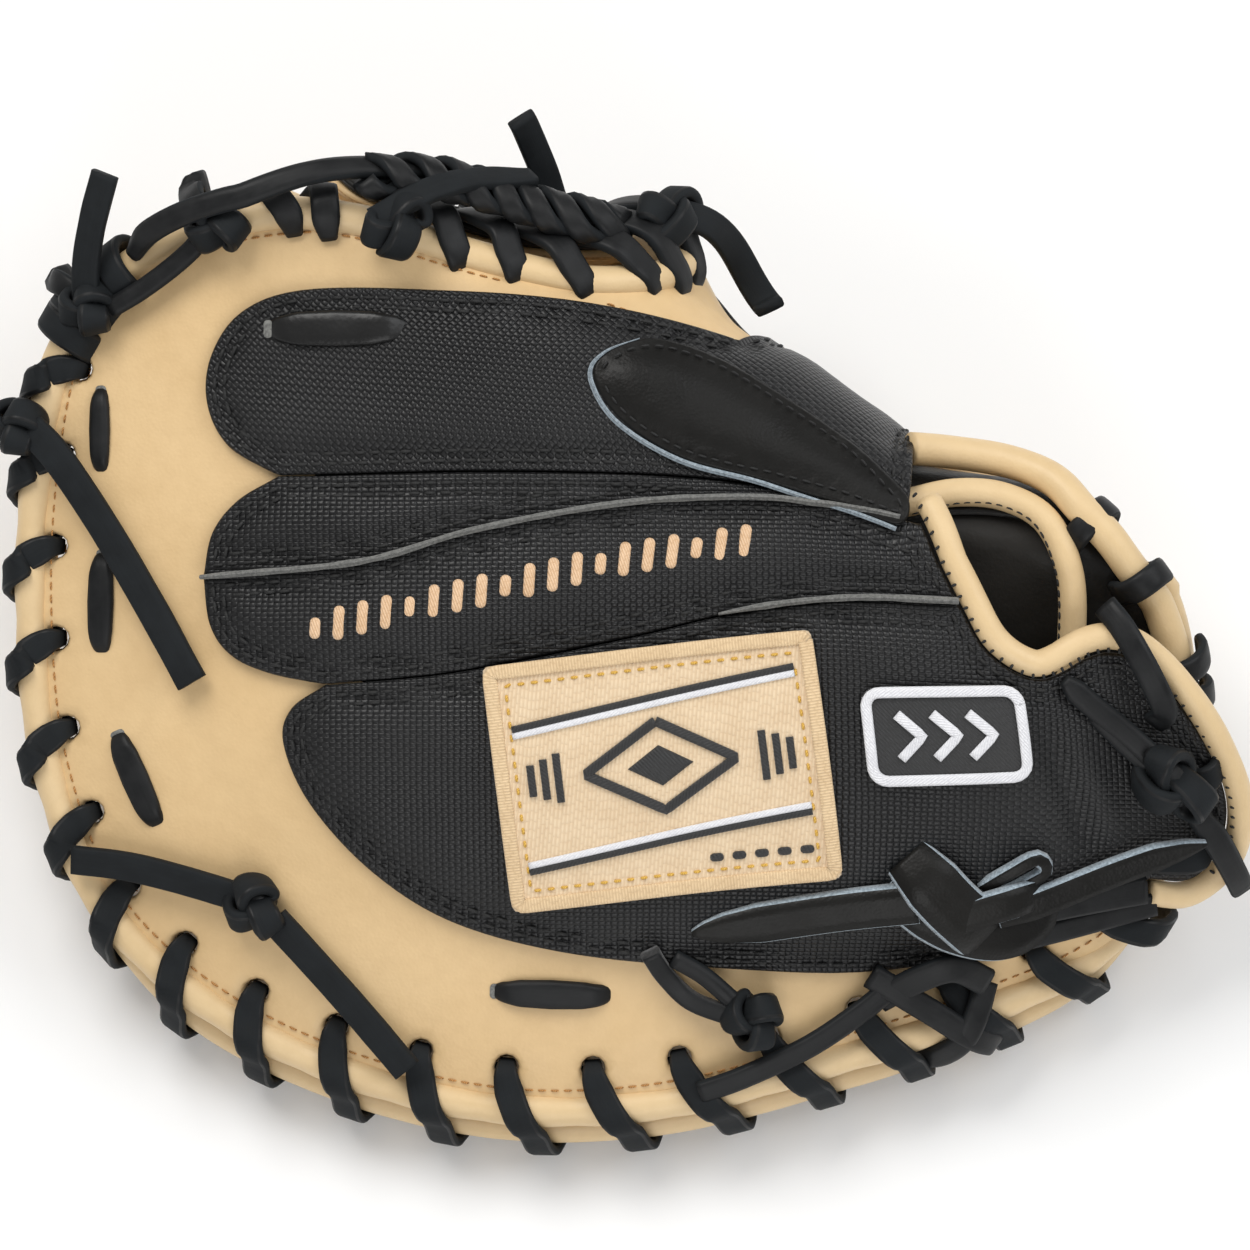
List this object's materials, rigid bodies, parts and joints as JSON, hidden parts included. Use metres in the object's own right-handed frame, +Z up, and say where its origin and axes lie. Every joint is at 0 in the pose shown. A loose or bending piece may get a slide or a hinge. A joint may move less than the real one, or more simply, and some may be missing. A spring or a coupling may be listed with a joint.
{
  "type": "baseball catcher's mitt",
  "caption": "Baseball catcher's mitt for a right-handed thrower, cream and black leather, rolled edges laced all round, lying palm down with the thumb half folded under.",
  "frame": {"origin": "middle of the footprint, on the floor that the mitt lies on", "axes": "+Z up, the wrist end towards +X and the finger tips towards -X, the fold between finger and thumb halves towards +Y, the little finger's edge towards -Y"},
  "size_m": [0.2927, 0.219, 0.1117],
  "materials": {
    "cream_leather": "smooth full-grain cream leather",
    "black_weave": "black shell with a woven texture",
    "black_leather": "smooth black leather",
    "black_lace": "matte black rawhide lace",
    "grey_welt": "raw cut leather edge",
    "felt": "wool felt",
    "patch_cloth": "embroidered cloth"
  },
  "bodies": {
    "fingers": {"back_band": "cream_leather", "cuff_badge": "patch_cloth", "cuff_binding": "cream_leather", "cuff_knot": "black_lace", "cuff_lace": "black_lace", "corner_knot": "black_lace", "corner_lace_tail": "black_lace", "corner_pad_lace": "black_lace", "finger_back_roll": "cream_leather", "finger_edge_lace_1": "black_lace", "finger_edge_lace_2": "black_lace", "finger_edge_lace_3": "black_lace", "finger_edge_lace_4": "black_lace", "finger_edge_lace_5": "black_lace", "finger_edge_lace_6": "black_lace", "finger_edge_lace_7": "black_lace", "finger_padding": "felt", "finger_palm_leather": "cream_leather", "finger_palm_roll": "cream_leather", "finger_welt": "grey_welt", "hand_lining": "black_leather", "heel_lace_tail": "black_lace", "index_finger_pad": "black_leather", "index_finger_panel": "black_weave", "index_pad_lace": "black_lace", "lining_binding": "cream_leather", "little_finger_panel": "black_weave", "little_pad_lace": "black_lace", "middle_finger_panel": "black_weave", "middle_tip_knot": "black_lace", "name_patch": "patch_cloth", "padding_knot": "black_lace", "padding_lace_tail": "black_lace", "ring_finger_panel": "black_weave", "ring_pad_lace": "black_lace", "side_knot": "black_lace", "side_lace_tail": "black_lace", "strap_knot": "black_lace", "strap_left_end": "black_lace", "strap_right_end": "black_lace", "tip_knot": "black_lace", "tip_lace_tail": "black_lace", "tip_pad_lace": "black_lace", "web_knot": "black_lace", "web_lace_tail": "black_lace", "web_rope_lace": "black_lace"},
    "thumb": {"thumb_back_leather": "cream_leather", "thumb_back_roll": "cream_leather", "thumb_edge_lace_1": "black_lace", "thumb_edge_lace_2": "black_lace", "thumb_edge_lace_3": "black_lace", "thumb_padding": "felt", "thumb_palm_leather": "cream_leather", "thumb_palm_roll": "cream_leather", "thumb_panel": "black_weave", "web_back_leather": "black_leather", "web_palm_leather": "cream_leather"}
  },
  "joints": [
    {"name": "pocket_close", "type": "hinge", "parent": "fingers", "child": "thumb", "pos_m": [0.0204, 0.0531, 0.0583], "axis": [-0.8989, 0.4233, 0.1134], "range_deg": [0, 25]}
  ]
}
